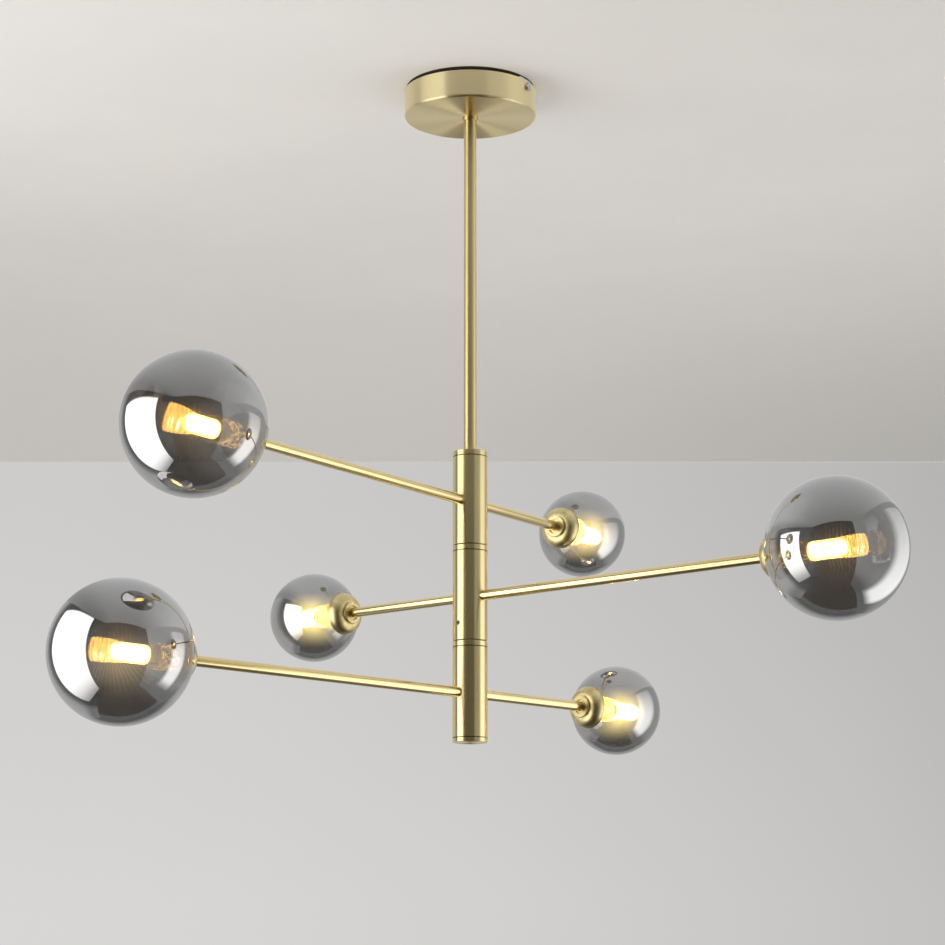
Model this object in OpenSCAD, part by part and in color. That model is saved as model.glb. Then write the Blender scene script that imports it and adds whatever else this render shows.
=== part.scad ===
// Ceiling light: canopy, downrod and a column of three turning tiers, each with a long and a
// short arm that end in smoked glass globes. Origin at the centre of the bracket's ceiling face,
// +Z up into the ceiling, -Y towards the viewer.

/* [Canopy] */
// Outer diameter of the canopy
canopy_d = 125; // [110:1:160]
// Height of the canopy's side
canopy_h = 26; // [24:0.5:40]
// Wall of the spun canopy
canopy_wall = 1.2; // [0.8:0.1:2]
// Rounding between the canopy's side and its bottom
canopy_edge = 2.5; // [2.1:0.1:4]
// Shadow gap between the ceiling and the canopy's rim
canopy_gap = 2.5; // [1.6:0.1:5]

/* [Ceiling bracket] */
// Width of the crossbar and its ears
bracket_w = 18; // [16:0.5:24]
// Thickness of the crossbar
bracket_t = 1.5; // [1:0.1:1.6]
// Distance between the two ceiling screws
ceiling_screw_pitch = 70; // [60:1:84]
// Diameter of the ceiling screws' holes
ceiling_hole_d = 5; // [4:0.1:6]
// Turn of the crossbar about the rod
bracket_turn = -30; // [-90:1:90]
// Drop of the side screws below the canopy's rim
side_screw_drop = 6.5; // [5:0.1:9]
// Thread diameter of the side screws
side_screw_d = 4; // [3:0.1:5]
// Head diameter of the side screws
side_head_d = 7.2; // [6:0.1:9]

/* [Terminal block] */
// Length of the terminal block
terminal_l = 28; // [20:1:34]
// Width of the terminal block
terminal_w = 15; // [12:0.5:16]
// Height of the terminal block
terminal_h = 11; // [8:0.5:12]

/* [Downrod] */
// Diameter of the downrod
rod_d = 12; // [10:0.5:14]
// Wall of the downrod
rod_wall = 1.4; // [1:0.1:2]
// Distance from the ceiling to the top of the column
rod_drop = 354; // [150:1:900]
// Diameter of the ring under the canopy
collar_d = 15; // [15:0.5:20]
// Height of the ring under the canopy
collar_h = 3; // [2:0.1:6]

/* [Column] */
// Diameter of the column
column_d = 32; // [31:0.5:40]
// Wall of the column's sleeves
sleeve_wall = 2; // [1.5:0.1:2.5]
// Height of one tier's sleeve
sleeve_h = 83; // [74:0.5:120]
// Height of the visible ring of a tier's top cap
cap_h = 5; // [3:0.1:8]
// Depth of the caps' spigots in the sleeves
spigot_h = 8; // [5:0.5:10]
// Height of the arms above the foot of their tier's sleeve
arm_rise = 40.8; // [40:0.1:44]
// Height of the plug in a sleeve's foot
plug_h = 22; // [19:0.5:23]
// Height of the visible ring of the lowest cap
foot_h = 4; // [2:0.1:8]
// Thickness of the dark thrust washer between two tiers
thrust_t = 0.8; // [0.5:0.1:1.5]
// Diameter of the thrust washer
thrust_d = 29; // [26:0.5:30]
// Height of the hub that holds the arms
hub_h = 18; // [14:0.5:19]

/* [Swivels] */
// Diameter of the hollow spindle between two tiers
spindle_d = 10; // [8:0.5:11]
// Wall of the hollow spindle
spindle_wall = 1.6; // [1:0.1:2]
// Diameter of the set screws
set_screw_d = 4; // [3:0.1:5]
// Height of the set screws above a sleeve's foot
set_screw_rise = 15.5; // [12:0.1:16.5]
// Turn of the set screws from their tier's long arm
set_screw_turn = -91.5; // [-110:0.5:-70]

/* [Arms] */
// Diameter of the arms
arm_d = 9.5; // [8:0.1:11]
// Wall of the arms
arm_wall = 1.4; // [1:0.1:2]
// Distance from the column's axis to a large globe's centre
long_reach = 400; // [260:1:600]
// Distance from the column's axis to a small globe's centre
short_reach = 200; // [130:1:300]
// Turn of the upper tier's long arm from +X
upper_turn = -123.5; // [-180:0.1:180]
// Turn of the middle tier's long arm from +X
middle_turn = -41.1; // [-180:0.1:180]
// Turn of the lower tier's long arm from +X
lower_turn = -134.7; // [-180:0.1:180]

/* [Globes] */
// Diameter of the large globes
large_d = 120; // [110:1:140]
// Diameter of the small globes
small_d = 85; // [82:1:100]
// Wall of the blown glass
glass_wall = 2; // [1.5:0.1:3]
// Depth of the threaded glass collar inside the mouth
glass_collar_h = 4; // [2:0.5:6]
// Wall of the threaded glass collar
glass_collar_wall = 2.4; // [1.5:0.1:3]

/* [Cups] */
// Diameter of a cup's rim on the glass
cup_d = 40; // [36:0.5:48]
// Depth of a cup from its rim to its hub's face
cup_h = 13.3; // [12:0.1:18]
// Wall of the spun cup
cup_wall = 1.2; // [0.8:0.1:1.6]
// Straight band at the cup's rim
cup_band = 1.5; // [1:0.1:3]
// Diameter of the hub ring on the cup's back
cup_hub_d = 21; // [19:0.5:24]
// Height of the hub ring over the dome
cup_hub_h = 2.5; // [1.5:0.1:3.5]
// Diameter of the recess round the arm
cup_recess_d = 14; // [13.5:0.1:16]
// Depth of the recess round the arm
cup_recess_h = 2; // [1:0.1:2.2]

/* [Lamps] */
// Outer diameter of the threaded shade sleeve
shade_sleeve_d = 21; // [20:0.1:24]
// Wall of the threaded shade sleeve
shade_sleeve_wall = 1; // [0.7:0.1:1.5]
// Reach of the shade sleeve past the cup's rim, into the globe
shade_sleeve_in = 23; // [18:0.5:26]
// Width of a bulb's flat base
bulb_base_w = 13; // [10:0.1:13.6]
// Thickness of a bulb's flat base
bulb_base_t = 6.5; // [5:0.1:8]
// Length of a bulb's base between sleeve and capsule
bulb_base_l = 9.5; // [6:0.5:12]
// Depth of a bulb's base in its holder
bulb_seat = 3; // [2:0.5:5]
// Distance between a bulb's two pins
pin_pitch = 9; // [7:0.1:9]
// Diameter of a bulb's pins
pin_d = 1.2; // [0.8:0.1:1.4]
// Diameter of a bulb's capsule
bulb_d = 15.6; // [15:0.1:18]
// Length of a bulb's capsule
bulb_l = 36; // [24:0.5:40]
// Wall of a bulb's capsule
bulb_wall = 0.8; // [0.6:0.1:1.2]

/* [Hidden] */
// Clearances, each radial or face to face
turn_clear = 0.05;
fit_clear = 0.05;
seat_clear = 0.3;
mouth_clear = 0.1;
// Nuts, washers and small screws
rod_nut_af = 17;
spindle_nut_af = 14;
nut_h = 5;
washer_t = 1;
washer_over = 2;
thread_over = 2;
earth_screw_d = 4;
earth_head_d = 7;
earth_head_h = 2.4;
earth_screw_x = 22;
hub_wall = 1.5;
side_head_h = 2.4;
side_screw_over = 3;
ear_over = 5;
socket_depth = 1.6;
set_screw_inset = 0.3;
edge_soft = 0.4;
seam_soft = 0.3;
strip_t = 1.2;
strip_w = 9;
strip_end = 6;
pin_l = 9;
terminal_ways = 3;
terminal_hole_d = 5;
terminal_screw_d = 3.2;
terminal_screw_depth = 4;
holder_back = 0.3;
holder_inset = 1.2;
collar_soft = 0.6;
dome_over = 1;
// Length by which a cutter runs past what it cuts
past = 1;
$fn = 96;

canopy_r = canopy_d / 2;
canopy_in_r = canopy_r - canopy_wall;
rim_z = -canopy_gap;
canopy_z = rim_z - canopy_h;
canopy_floor_z = canopy_z + canopy_wall;
side_screw_z = rim_z - side_screw_drop;
ear_x = sqrt(pow(canopy_in_r, 2) - pow(bracket_w / 2, 2)) - seat_clear;
ear_z = side_screw_z - ear_over;

rod_r = rod_d / 2;
rod_top_z = canopy_floor_z + washer_t + nut_h + thread_over;
column_top_z = -rod_drop;
rod_nut_z = column_top_z - cap_h - spigot_h;
rod_end_z = rod_nut_z - washer_t - nut_h - thread_over;

column_r = column_d / 2;
sleeve_in_r = column_r - sleeve_wall;
spigot_r = sleeve_in_r - fit_clear;
spindle_r = spindle_d / 2;
arm_r = arm_d / 2;
arm_in_r = arm_r - arm_wall;
hub_bore_r = spindle_r;
arm_start = hub_bore_r + hub_wall;
tier_pitch = cap_h + sleeve_h + thrust_t;

large_r = large_d / 2;
small_r = small_d / 2;
cup_r = cup_d / 2;
cup_in_r = cup_r - cup_wall;
cup_hub_r = cup_hub_d / 2;
cup_dome_h = cup_h - cup_hub_h;
cup_floor = cup_dome_h - cup_wall;
shade_sleeve_r = shade_sleeve_d / 2;
shade_sleeve_in_r = shade_sleeve_r - shade_sleeve_wall;
mouth_r = shade_sleeve_r + mouth_clear;
glass_collar_r = mouth_r + glass_collar_wall;
holder_r = shade_sleeve_in_r - fit_clear;
holder_top = cup_floor - holder_back;
holder_end = -shade_sleeve_in + holder_inset;
bulb_start = -shade_sleeve_in - bulb_base_l;
bulb_r = bulb_d / 2;

// Tiers, in the order of their turns
UPPER = 0;
MIDDLE = 1;
LOWER = 2;
turns = [upper_turn, middle_turn, lower_turn];

function tier_top(k) = column_top_z - k * tier_pitch;
function sleeve_foot(k) = tier_top(k) - cap_h - sleeve_h;
// Height of a cup's rim over the centre of a globe of radius r
function rim_rise(r) = sqrt(pow(r, 2) - pow(cup_in_r, 2)) + seat_clear;

// Colours
module satin_brass() color([0.80, 0.70, 0.44]) children();
module bright_brass() color([0.86, 0.75, 0.46]) children();
module steel() color([0.62, 0.62, 0.62]) children();
module dark_steel() color([0.20, 0.19, 0.17]) children();
module nylon() color([0.15, 0.14, 0.12]) children();
module ceramic() color([0.93, 0.91, 0.86]) children();
module warm_glass() color([1.0, 0.86, 0.55, 0.6]) children();
module smoked_glass() color([0.45, 0.45, 0.46, 0.45]) children();

// Shapes used by more than one piece
module tube(r, wall, h) {
    difference() {
        cylinder(r = r, h = h);
        translate([0, 0, -past]) cylinder(r = r - wall, h = h + 2 * past);
    }
}

module ring(r, bore, h) {
    difference() {
        cylinder(r = r, h = h);
        translate([0, 0, -past]) cylinder(r = bore, h = h + 2 * past);
    }
}

// Hexagon nut that stands on its washer, both on the bore's axis
module nut_on_washer(af, bore) {
    ring(af / 2 + washer_over, bore, washer_t);
    translate([0, 0, washer_t]) {
        difference() {
            cylinder(d = af / cos(30), h = nut_h, $fn = 6);
            translate([0, 0, -past]) cylinder(r = bore, h = nut_h + 2 * past);
        }
    }
}

// Solid cylinder with a soft edge at its upper end
module soft_disc(r, h, soft) {
    rotate_extrude()
        polygon(concat(
            [[0, 0], [r, 0]],
            [for (a = [0:15:90]) [r - soft + soft * cos(a), h - soft + soft * sin(a)]],
            [[0, h]]
        ));
}

// Frame of one tier: the arms' axis along X, the long arm towards +X
module at_arms(k) {
    translate([0, 0, sleeve_foot(k) + arm_rise]) rotate([0, 0, turns[k]]) children();
}

// Frame of a globe of radius r at a reach from the column, +Z from its centre to its mouth
module at_globe(reach) {
    translate([reach, 0, 0]) rotate([0, -90, 0]) children();
}

// Frame of a cup's rim, +Z towards the arm
module at_rim(reach, r) {
    at_globe(reach) translate([0, 0, rim_rise(r)]) children();
}

// Both lamp ends of a tier
module at_both_rims(k) {
    at_arms(k) {
        at_rim(long_reach, large_r) children();
        rotate([0, 0, 180]) at_rim(short_reach, small_r) children();
    }
}

// Crossbar on the ceiling, with an ear bent down at each end for a side screw
module ceiling_bracket() {
    steel() rotate([0, 0, bracket_turn]) difference() {
        union() {
            translate([-ear_x, -bracket_w / 2, -bracket_t])
                cube([2 * ear_x, bracket_w, bracket_t]);
            for (side = [0, 180]) rotate([0, 0, side])
                translate([ear_x - bracket_t, -bracket_w / 2, ear_z])
                    cube([bracket_t, bracket_w, -ear_z]);
        }
        for (side = [-1, 1]) translate([side * ceiling_screw_pitch / 2, 0, -bracket_t - past])
            cylinder(d = ceiling_hole_d, h = bracket_t + 2 * past);
        translate([earth_screw_x, 0, -bracket_t - past])
            cylinder(d = earth_screw_d + 2 * fit_clear, h = bracket_t + 2 * past);
        translate([-canopy_r, 0, side_screw_z]) rotate([0, 90, 0])
            cylinder(d = side_screw_d + 2 * fit_clear, h = canopy_d);
    }
}

// Spun cup with a rounded lower edge, a hole for the rod and a slot for each side screw
module canopy() {
    satin_brass() difference() {
        rotate_extrude($fn = 180)
            polygon(concat(
                [[rod_r + fit_clear, canopy_z]],
                [for (a = [0:10:90])
                    [canopy_r - canopy_edge + canopy_edge * sin(a),
                     canopy_z + canopy_edge - canopy_edge * cos(a)]],
                [[canopy_r, rim_z], [canopy_in_r, rim_z]],
                [for (a = [90:-15:0])
                    [canopy_r - canopy_edge + (canopy_edge - canopy_wall) * sin(a),
                     canopy_z + canopy_edge - (canopy_edge - canopy_wall) * cos(a)]],
                [[rod_r + fit_clear, canopy_floor_z]]
            ));
        for (side = [0, 180]) rotate([0, 0, bracket_turn + side])
            translate([canopy_in_r - past, 0, side_screw_z]) {
                rotate([0, 90, 0])
                    cylinder(d = side_screw_d + 2 * seat_clear, h = canopy_wall + 2 * past);
                translate([0, -side_screw_d / 2 - seat_clear, 0])
                    cube([canopy_wall + 2 * past, side_screw_d + 2 * seat_clear,
                          side_screw_drop + past]);
            }
    }
}

// One side screw: shank through ear and slot, domed head on the canopy's wall, cross slot
module side_screw() {
    shank_start = ear_x - bracket_t - side_screw_over;
    translate([shank_start, 0, side_screw_z]) rotate([0, 90, 0])
        cylinder(d = side_screw_d, h = canopy_r + edge_soft - shank_start);
    translate([canopy_r, 0, side_screw_z]) rotate([0, 90, 0]) difference() {
        soft_disc(side_head_d / 2, side_head_h, side_head_h / 2);
        translate([-side_head_d / 2, -edge_soft, side_head_h - 2 * edge_soft])
            cube([side_head_d, 2 * edge_soft, side_head_h]);
    }
}

module side_screws() {
    steel() for (side = [0, 180]) rotate([0, 0, bracket_turn + side]) side_screw();
}

// Connector block under the crossbar: one wire way and two clamp screws for each conductor
module terminal_block() {
    way_pitch = terminal_l / terminal_ways;
    ceramic() rotate([0, 0, bracket_turn]) translate([0, 0, -bracket_t - terminal_h]) difference() {
        translate([-terminal_l / 2, -terminal_w / 2, 0])
            cube([terminal_l, terminal_w, terminal_h]);
        for (i = [0:terminal_ways - 1]) translate([(i - (terminal_ways - 1) / 2) * way_pitch, 0, 0]) {
            translate([0, -terminal_w / 2 - past, terminal_h / 2]) rotate([-90, 0, 0])
                cylinder(d = terminal_hole_d, h = terminal_w + 2 * past);
            for (side = [-1, 1]) translate([0, side * terminal_w / 4, -past])
                cylinder(d = terminal_screw_d, h = terminal_screw_depth + past);
        }
    }
}

// Earth screw in the crossbar, head down
module earth_screw() {
    steel() rotate([0, 0, bracket_turn]) translate([earth_screw_x, 0, -bracket_t])
        rotate([180, 0, 0]) {
            difference() {
                soft_disc(earth_head_d / 2, earth_head_h, earth_head_h / 2);
                translate([-earth_head_d / 2, -edge_soft, earth_head_h - 2 * edge_soft])
                    cube([earth_head_d, 2 * edge_soft, earth_head_h]);
            }
            translate([0, 0, -bracket_t + seat_clear])
                cylinder(d = earth_screw_d, h = bracket_t - seat_clear + edge_soft);
        }
}

// Nut that draws the rod and its collar against the canopy
module rod_nut() {
    steel() translate([0, 0, canopy_floor_z]) nut_on_washer(rod_nut_af, rod_r + fit_clear);
}

module rod_collar() {
    bright_brass() translate([0, 0, canopy_z]) rotate([180, 0, 0]) difference() {
        soft_disc(collar_d / 2, collar_h, collar_soft);
        translate([0, 0, -past]) cylinder(r = rod_r + fit_clear, h = collar_h + 2 * past);
    }
}

module downrod() {
    bright_brass() translate([0, 0, rod_end_z]) tube(rod_r, rod_wall, rod_top_z - rod_end_z);
}

// Nut that carries the upper tier's cap, which turns on the rod
module rod_end_nut() {
    steel() translate([0, 0, rod_nut_z]) rotate([180, 0, 0])
        nut_on_washer(rod_nut_af, rod_r + fit_clear);
}

// Top cap: visible ring and a spigot in the sleeve, bored for what the tier hangs on
module top_cap(k) {
    bore = k == UPPER ? rod_r + turn_clear : spindle_r + fit_clear;
    satin_brass() translate([0, 0, tier_top(k) - cap_h]) difference() {
        union() {
            soft_disc(column_r, cap_h, edge_soft);
            translate([0, 0, -spigot_h]) cylinder(r = spigot_r, h = spigot_h + edge_soft);
        }
        translate([0, 0, -spigot_h - past]) cylinder(r = bore, h = cap_h + spigot_h + 2 * past);
    }
}

// Column sleeve with chamfered ends, drilled across for the arms and for its set screw
module sleeve(k) {
    satin_brass() difference() {
        translate([0, 0, sleeve_foot(k)]) rotate_extrude() polygon([
            [sleeve_in_r, 0], [column_r - seam_soft, 0], [column_r, seam_soft],
            [column_r, sleeve_h - seam_soft], [column_r - seam_soft, sleeve_h],
            [sleeve_in_r, sleeve_h]
        ]);
        at_arms(k) translate([-column_d, 0, 0]) rotate([0, 90, 0])
            cylinder(r = arm_r + fit_clear, h = 2 * column_d);
        at_set_screw(k) cylinder(d = set_screw_d + 2 * fit_clear, h = column_r + past);
    }
}

// Hub: both arms seat in it, and the wires pass down its middle
module hub(k) {
    bright_brass() at_arms(k) difference() {
        translate([0, 0, -hub_h / 2]) cylinder(r = spigot_r, h = hub_h);
        translate([0, 0, -hub_h / 2 - past]) cylinder(r = hub_bore_r, h = hub_h + 2 * past);
        for (side = [0, 180]) rotate([0, 0, side]) {
            translate([arm_start, 0, 0]) rotate([0, 90, 0])
                cylinder(r = arm_r + fit_clear, h = column_r);
            rotate([0, 90, 0]) cylinder(r = arm_in_r, h = column_r);
        }
    }
}

// Frame of a set screw, +Z outwards from the column's axis
module at_set_screw(k) {
    translate([0, 0, sleeve_foot(k) + set_screw_rise])
        rotate([0, 0, turns[k] + set_screw_turn]) rotate([0, 90, 0]) children();
}

// Bearing plug in a sleeve's foot, in which the next tier's spindle turns
module plug(k) {
    bright_brass() difference() {
        translate([0, 0, sleeve_foot(k)]) ring(spigot_r, spindle_r + turn_clear, plug_h);
        at_set_screw(k) cylinder(d = set_screw_d + 2 * fit_clear, h = column_r);
    }
}

// Closed cap in the lowest sleeve's foot, as deep as a plug
module lower_foot_cap() {
    satin_brass() difference() {
        translate([0, 0, sleeve_foot(LOWER)]) {
            rotate([180, 0, 0]) soft_disc(column_r, foot_h, edge_soft);
            cylinder(r = spigot_r, h = plug_h);
        }
        translate([0, 0, sleeve_foot(LOWER)]) cylinder(r = spindle_r, h = plug_h + past);
        at_set_screw(LOWER) cylinder(d = set_screw_d + 2 * fit_clear, h = column_r);
    }
}

// Socket set screw, a little under the sleeve's surface and clear of the spindle
module set_screw(k) {
    dark_steel() at_set_screw(k) difference() {
        translate([0, 0, spindle_r + seat_clear])
            cylinder(d = set_screw_d, h = column_r - set_screw_inset - spindle_r - seat_clear);
        translate([0, 0, column_r - socket_depth])
            cylinder(d = set_screw_d / 2, h = socket_depth + past, $fn = 6);
    }
}

// Straight arm from the hub's shoulder to the inner face of its cup
module arm(k, side, reach, r) {
    arm_end = reach - rim_rise(r) - cup_floor;
    bright_brass() at_arms(k) rotate([0, 0, side]) translate([arm_start, 0, 0])
        rotate([0, 90, 0]) tube(arm_r, arm_wall, arm_end - arm_start);
}

module long_arm(k) {
    arm(k, 0, long_reach, large_r);
}

module short_arm(k) {
    arm(k, 180, short_reach, small_r);
}

// Spun cup: straight band at the glass, a bell dome, a hub ring and a recess round the arm
module cup() {
    dome_r = cup_hub_r + dome_over;
    inner_r = dome_r - cup_wall;
    groove_r = (arm_r + cup_recess_d / 2) / 2;
    rotate_extrude()
        polygon(concat(
            [[cup_in_r, 0], [cup_r, 0]],
            [for (a = [0:9:90])
                [dome_r + (cup_r - dome_r) * cos(a),
                 cup_band + (cup_dome_h - cup_band) * sin(a)]],
            [[cup_hub_r, cup_dome_h], [cup_hub_r, cup_h - edge_soft],
             [cup_hub_r - edge_soft, cup_h], [cup_recess_d / 2, cup_h],
             [cup_recess_d / 2, cup_h - cup_recess_h], [groove_r, cup_h - cup_recess_h],
             [groove_r, cup_h - cup_recess_h / 2], [arm_r + fit_clear, cup_h - cup_recess_h / 2],
             [arm_r + fit_clear, cup_floor]],
            [for (a = [90:-9:0])
                [inner_r + (cup_in_r - inner_r) * cos(a),
                 cup_band + (cup_floor - cup_band) * sin(a)]]
        ));
}

module cups(k) {
    satin_brass() at_both_rims(k) cup();
}

// Threaded sleeve from the cup's floor through the globe's mouth
module shade_sleeves(k) {
    bright_brass() at_both_rims(k) translate([0, 0, -shade_sleeve_in])
        tube(shade_sleeve_r, shade_sleeve_wall, shade_sleeve_in + cup_floor);
}

// Ceramic lampholder: socket for a bulb's flat base and two pin holes
module lampholder() {
    difference() {
        translate([0, 0, holder_end]) cylinder(r = holder_r, h = holder_top - holder_end);
        translate([-bulb_base_w / 2 - fit_clear, -bulb_base_t / 2 - fit_clear, holder_end - past])
            cube([bulb_base_w + 2 * fit_clear, bulb_base_t + 2 * fit_clear, bulb_seat + past]);
        for (side = [-1, 1]) translate([side * pin_pitch / 2, 0, holder_end - past])
            cylinder(d = pin_d + 2 * fit_clear, h = bulb_seat + pin_l + 2 * past);
    }
}

module lampholders(k) {
    ceramic() at_both_rims(k) lampholder();
}

// Bulb's flat base with its two pins and the light strip that stands in the capsule
module bulb_base() {
    base_top = holder_end + bulb_seat;
    translate([-bulb_base_w / 2, -bulb_base_t / 2, bulb_start])
        cube([bulb_base_w, bulb_base_t, base_top - bulb_start]);
    for (side = [-1, 1]) translate([side * pin_pitch / 2, 0, base_top - edge_soft])
        cylinder(d = pin_d, h = pin_l + edge_soft);
    translate([0, 0, bulb_start - bulb_wall]) cylinder(r = bulb_r - bulb_wall - fit_clear, h = bulb_wall);
    translate([-strip_w / 2, -strip_t / 2, bulb_start - bulb_l + strip_end])
        cube([strip_w, strip_t, bulb_l - strip_end]);
}

module bulb_bases(k) {
    ceramic() at_both_rims(k) bulb_base();
}

// Capsule of a bulb: a thin round-ended shell, open at its base
module bulb() {
    translate([0, 0, bulb_start - bulb_l + bulb_r]) difference() {
        union() {
            sphere(r = bulb_r);
            cylinder(r = bulb_r, h = bulb_l - bulb_r);
        }
        sphere(r = bulb_r - bulb_wall);
        cylinder(r = bulb_r - bulb_wall, h = bulb_l);
    }
}

module bulbs(k) {
    warm_glass() at_both_rims(k) bulb();
}

// Blown globe of radius r with a threaded collar inside its mouth
module globe(r) {
    in_r = r - glass_wall;
    collar_z = sqrt(pow(in_r, 2) - pow(glass_collar_r, 2)) - glass_collar_h;
    difference() {
        sphere(r = r, $fn = 180);
        difference() {
            sphere(r = in_r, $fn = 180);
            translate([0, 0, collar_z]) cylinder(r = glass_collar_r, h = r);
        }
        translate([0, 0, collar_z - past]) cylinder(r = mouth_r, h = r);
    }
}

module long_globe(k) {
    smoked_glass() at_arms(k) at_globe(long_reach) globe(large_r);
}

module short_globe(k) {
    smoked_glass() at_arms(k) rotate([0, 0, 180]) at_globe(short_reach) globe(small_r);
}

// Hollow spindle of a tier: fixed in its own cap, turning in the plug above
module spindle(k) {
    top = tier_top(k) + thrust_t + plug_h + washer_t + nut_h + thread_over;
    foot = tier_top(k) - cap_h - spigot_h;
    steel() translate([0, 0, foot]) tube(spindle_r, spindle_wall, top - foot);
}

module spindle_nut(k) {
    steel() translate([0, 0, tier_top(k) + thrust_t + plug_h])
        nut_on_washer(spindle_nut_af, spindle_r + fit_clear);
}

module thrust_washer(k) {
    nylon() translate([0, 0, tier_top(k)]) ring(thrust_d / 2, spindle_r + fit_clear, thrust_t);
}

ceiling_bracket();
canopy();
side_screws();
terminal_block();
earth_screw();
rod_nut();
rod_collar();
downrod();
rod_end_nut();

top_cap(UPPER);  // upper_cap
sleeve(UPPER);  // upper_sleeve
hub(UPPER);  // upper_hub
plug(UPPER);  // upper_plug
set_screw(UPPER);  // upper_set_screw
long_arm(UPPER);  // upper_long_arm
short_arm(UPPER);  // upper_short_arm
cups(UPPER);  // upper_cups
shade_sleeves(UPPER);  // upper_shade_sleeves
lampholders(UPPER);  // upper_lampholders
bulb_bases(UPPER);  // upper_bulb_bases
bulbs(UPPER);  // upper_bulbs
long_globe(UPPER);  // upper_long_globe
short_globe(UPPER);  // upper_short_globe

top_cap(MIDDLE);  // middle_cap
sleeve(MIDDLE);  // middle_sleeve
hub(MIDDLE);  // middle_hub
plug(MIDDLE);  // middle_plug
set_screw(MIDDLE);  // middle_set_screw
long_arm(MIDDLE);  // middle_long_arm
short_arm(MIDDLE);  // middle_short_arm
cups(MIDDLE);  // middle_cups
shade_sleeves(MIDDLE);  // middle_shade_sleeves
lampholders(MIDDLE);  // middle_lampholders
bulb_bases(MIDDLE);  // middle_bulb_bases
bulbs(MIDDLE);  // middle_bulbs
long_globe(MIDDLE);  // middle_long_globe
short_globe(MIDDLE);  // middle_short_globe
spindle(MIDDLE);  // middle_spindle
spindle_nut(MIDDLE);  // middle_spindle_nut
thrust_washer(MIDDLE);  // middle_thrust_washer

top_cap(LOWER);  // lower_cap
sleeve(LOWER);  // lower_sleeve
hub(LOWER);  // lower_hub
lower_foot_cap();
set_screw(LOWER);  // lower_set_screw
long_arm(LOWER);  // lower_long_arm
short_arm(LOWER);  // lower_short_arm
cups(LOWER);  // lower_cups
shade_sleeves(LOWER);  // lower_shade_sleeves
lampholders(LOWER);  // lower_lampholders
bulb_bases(LOWER);  // lower_bulb_bases
bulbs(LOWER);  // lower_bulbs
long_globe(LOWER);  // lower_long_globe
short_globe(LOWER);  // lower_short_globe
spindle(LOWER);  // lower_spindle
spindle_nut(LOWER);  // lower_spindle_nut
thrust_washer(LOWER);  // lower_thrust_washer
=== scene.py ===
"""Looks of a ceiling light with three turning arms: finishes, mirror glass, lamps, fine pieces, stage."""
import math

import bmesh
import bpy
from bpy.props import FloatProperty, FloatVectorProperty, PointerProperty
from mathutils import Matrix, Vector


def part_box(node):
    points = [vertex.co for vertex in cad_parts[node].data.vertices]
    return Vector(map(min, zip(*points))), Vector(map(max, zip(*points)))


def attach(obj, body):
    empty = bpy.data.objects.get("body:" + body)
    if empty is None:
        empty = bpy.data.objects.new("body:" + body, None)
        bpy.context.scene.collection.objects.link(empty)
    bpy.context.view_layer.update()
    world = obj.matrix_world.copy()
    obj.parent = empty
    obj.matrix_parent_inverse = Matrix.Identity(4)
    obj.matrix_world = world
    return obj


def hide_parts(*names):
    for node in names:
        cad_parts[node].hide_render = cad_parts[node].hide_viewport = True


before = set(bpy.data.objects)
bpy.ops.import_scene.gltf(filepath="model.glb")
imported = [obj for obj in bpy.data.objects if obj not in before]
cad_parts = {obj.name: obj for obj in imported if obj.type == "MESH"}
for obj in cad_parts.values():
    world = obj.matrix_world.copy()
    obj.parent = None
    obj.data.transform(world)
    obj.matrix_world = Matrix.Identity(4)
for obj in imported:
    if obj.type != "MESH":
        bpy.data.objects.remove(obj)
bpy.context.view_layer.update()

bl_info = {
    "name": "Turning arm ceiling light",
    "version": (1, 0, 0),
    "blender": (4, 5, 0),
    "location": "3D View > Sidebar > Ceiling Light",
    "description": "Dresses the packed ceiling light and sets its studio",
    "category": "Object",
}

TIERS = ("upper", "middle", "lower")
ENDS = ("long", "short")
# Wall behind, floor and its half width, then the glowing cards: height over the ceiling, foot,
# half width behind, and how far the foot of a side card leans out
BACK = 1.75
FLOOR = -4.2
REACH = 20.0
CARD_RISE = 0.012
CARD_FOOT = -2.5
CARD_WIDE = 1.2
LEAN = 0.27
# Part of the wall behind that the camera sees: its width, its top's depth and its height
SIGHT_WIDE = 1.486
SIGHT_TOP = 0.063
SIGHT_DEEP = 0.63
# Ring of deep shade on the ceiling over the canopy, and how much narrower it is sideways
SHADE_RING = (0.0618, 0.0626)
SHADE_NARROW = 1.022
# Studio that shows in the metal and the glass, in metres from the light's ceiling point
PANELS = {
    "left": ((-0.822, 0.053, -0.155), (-0.608, -0.655, -0.155),
             (-0.782, -0.728, -1.640), (-0.991, 0.002, -1.640)),
    "right": ((0.748, 0.432, -0.168), (0.691, -0.327, -0.168),
              (0.893, -0.342, -1.620), (0.950, 0.417, -1.620)),
}

CEILING = ((-0.90, BACK), (-0.89, 0.20), (-0.83, -0.40), (-0.73, -0.80), (-0.55, -1.07),
           (0.57, -1.07), (0.73, -0.65), (0.80, -0.20), (0.87, 0.60), (0.90, BACK))

# Half width of a dark joint line, grains of the lathe work, depth of a fine grain, turn of the
# stretched highlights, and how much the faint lines on a drawn tube are stretched
JOINT_LINE = (0.0003, 0.0006)
LATHE_GRAIN = 7000.0
CANOPY_GRAIN = 2400.0
CUP_GRAIN = 2500.0
GRAIN_DEPTH = 0.00001
UPRIGHT = 0.25
DRAWN = 0.03
# Pitch of the chips on a light strip, number of the painted rays of lamp light on a large globe, and
# how far the painted glow on a small one lies under its middle, in radii
CHIP_PITCH = 0.0048
PAINTED_RAY_COUNT = 58.0
PAINTED_HALO_DROP = 0.17
BLACK = (0.0, 0.0, 0.0)
# Steps along and round a globe's glass, and how much more a small globe lets through
ARC_STEPS = 72
ROUND_STEPS = 128
SMALL_CLEARER = 1.3
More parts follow.
